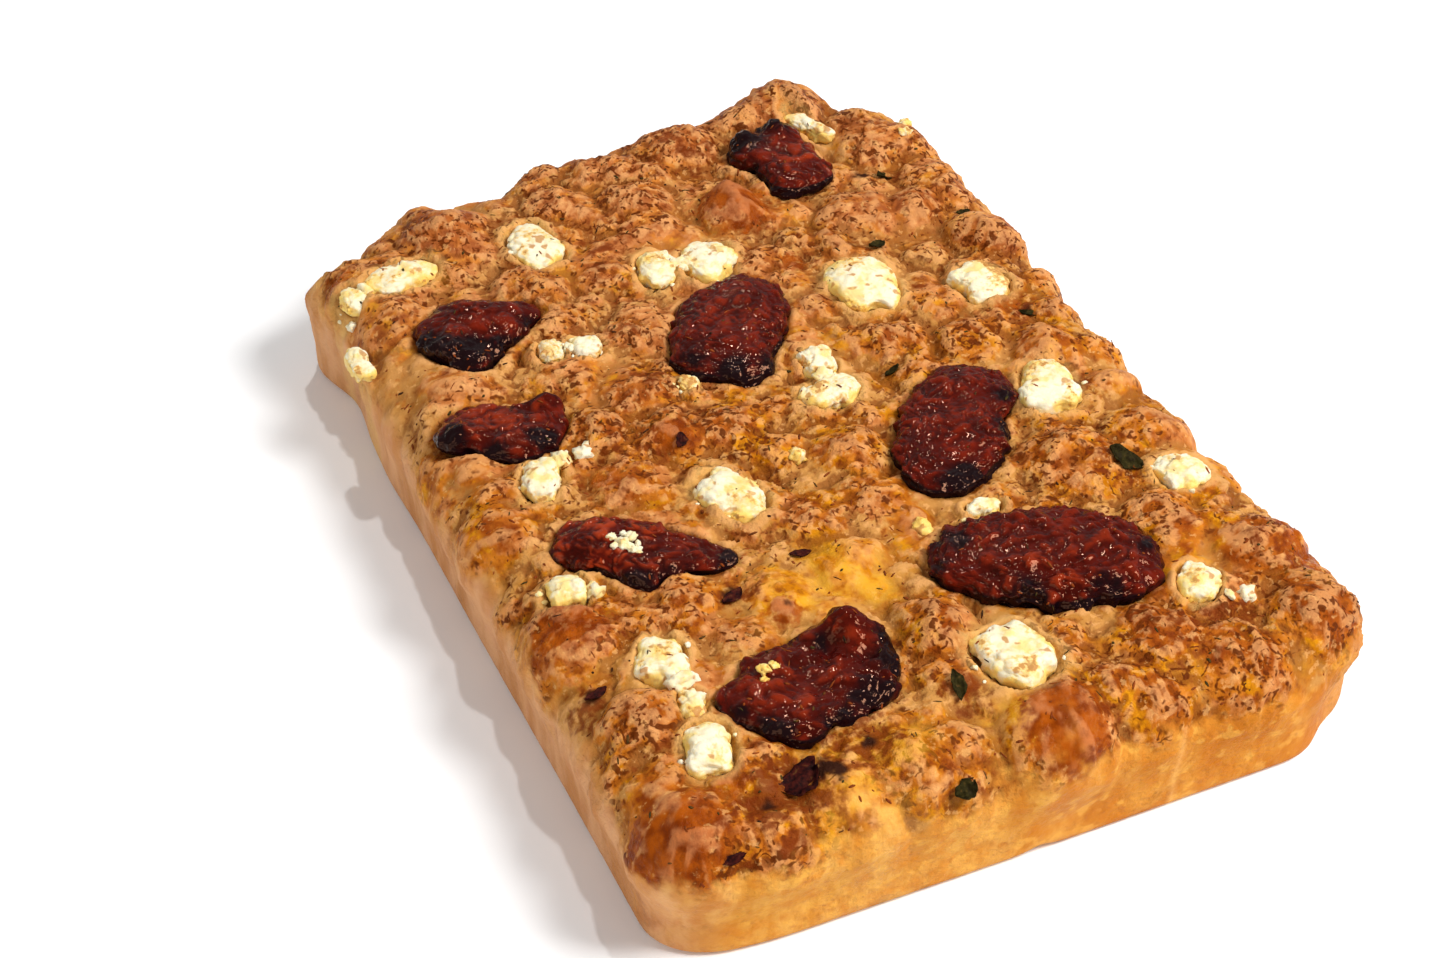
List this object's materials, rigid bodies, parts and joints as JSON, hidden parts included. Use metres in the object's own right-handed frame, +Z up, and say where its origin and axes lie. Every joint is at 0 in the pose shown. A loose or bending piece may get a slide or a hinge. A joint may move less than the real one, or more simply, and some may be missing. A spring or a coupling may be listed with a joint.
{
  "type": "focaccia",
  "caption": "Rectangular slab of knobbly baked focaccia topped with roasted tomato halves, lumps of crumbly white cheese and dried herbs.",
  "frame": {"origin": "centre of the bounding box in plan, on the flat underside that the slab rests on", "axes": "+Z up, +Y along the long side towards the end with the raised corner, +X along the short side"},
  "size_m": [0.2035, 0.2925, 0.045],
  "materials": {
    "crust": "golden brown baked crust with a thin film of oil, dull in the hollows",
    "tomato_skin": "dark red roasted tomato, wrinkled and oily, charred at the edges",
    "cheese_white": "creamy white crumbly cheese with toasted patches"
  },
  "bodies": {
    "root": {"bread": "crust", "tomato_back": "tomato_skin", "tomato_back_left": "tomato_skin", "tomato_left": "tomato_skin", "tomato_middle_back": "tomato_skin", "tomato_right": "tomato_skin", "tomato_front_left": "tomato_skin", "tomato_front_right": "tomato_skin", "tomato_front": "tomato_skin", "cheese_back_left": "cheese_white", "cheese_back_left_end": "cheese_white", "cheese_back": "cheese_white", "cheese_left_rim": "cheese_white", "cheese_by_tomato_a": "cheese_white", "cheese_by_tomato_b": "cheese_white", "cheese_middle_a": "cheese_white", "cheese_middle_b": "cheese_white", "cheese_right_back": "cheese_white", "cheese_right_rim": "cheese_white", "cheese_centre_a": "cheese_white", "cheese_centre_b": "cheese_white", "cheese_right": "cheese_white", "cheese_left": "cheese_white", "cheese_middle": "cheese_white", "cheese_front_left": "cheese_white", "cheese_front_a": "cheese_white", "cheese_front_b": "cheese_white", "cheese_front_corner": "cheese_white", "cheese_front": "cheese_white", "cheese_front_right": "cheese_white", "cheese_right_edge": "cheese_white", "cheese_behind_tomato": "cheese_white", "cheese_yellow": "cheese_white", "cheese_far_back": "cheese_white"}
  },
  "joints": []
}
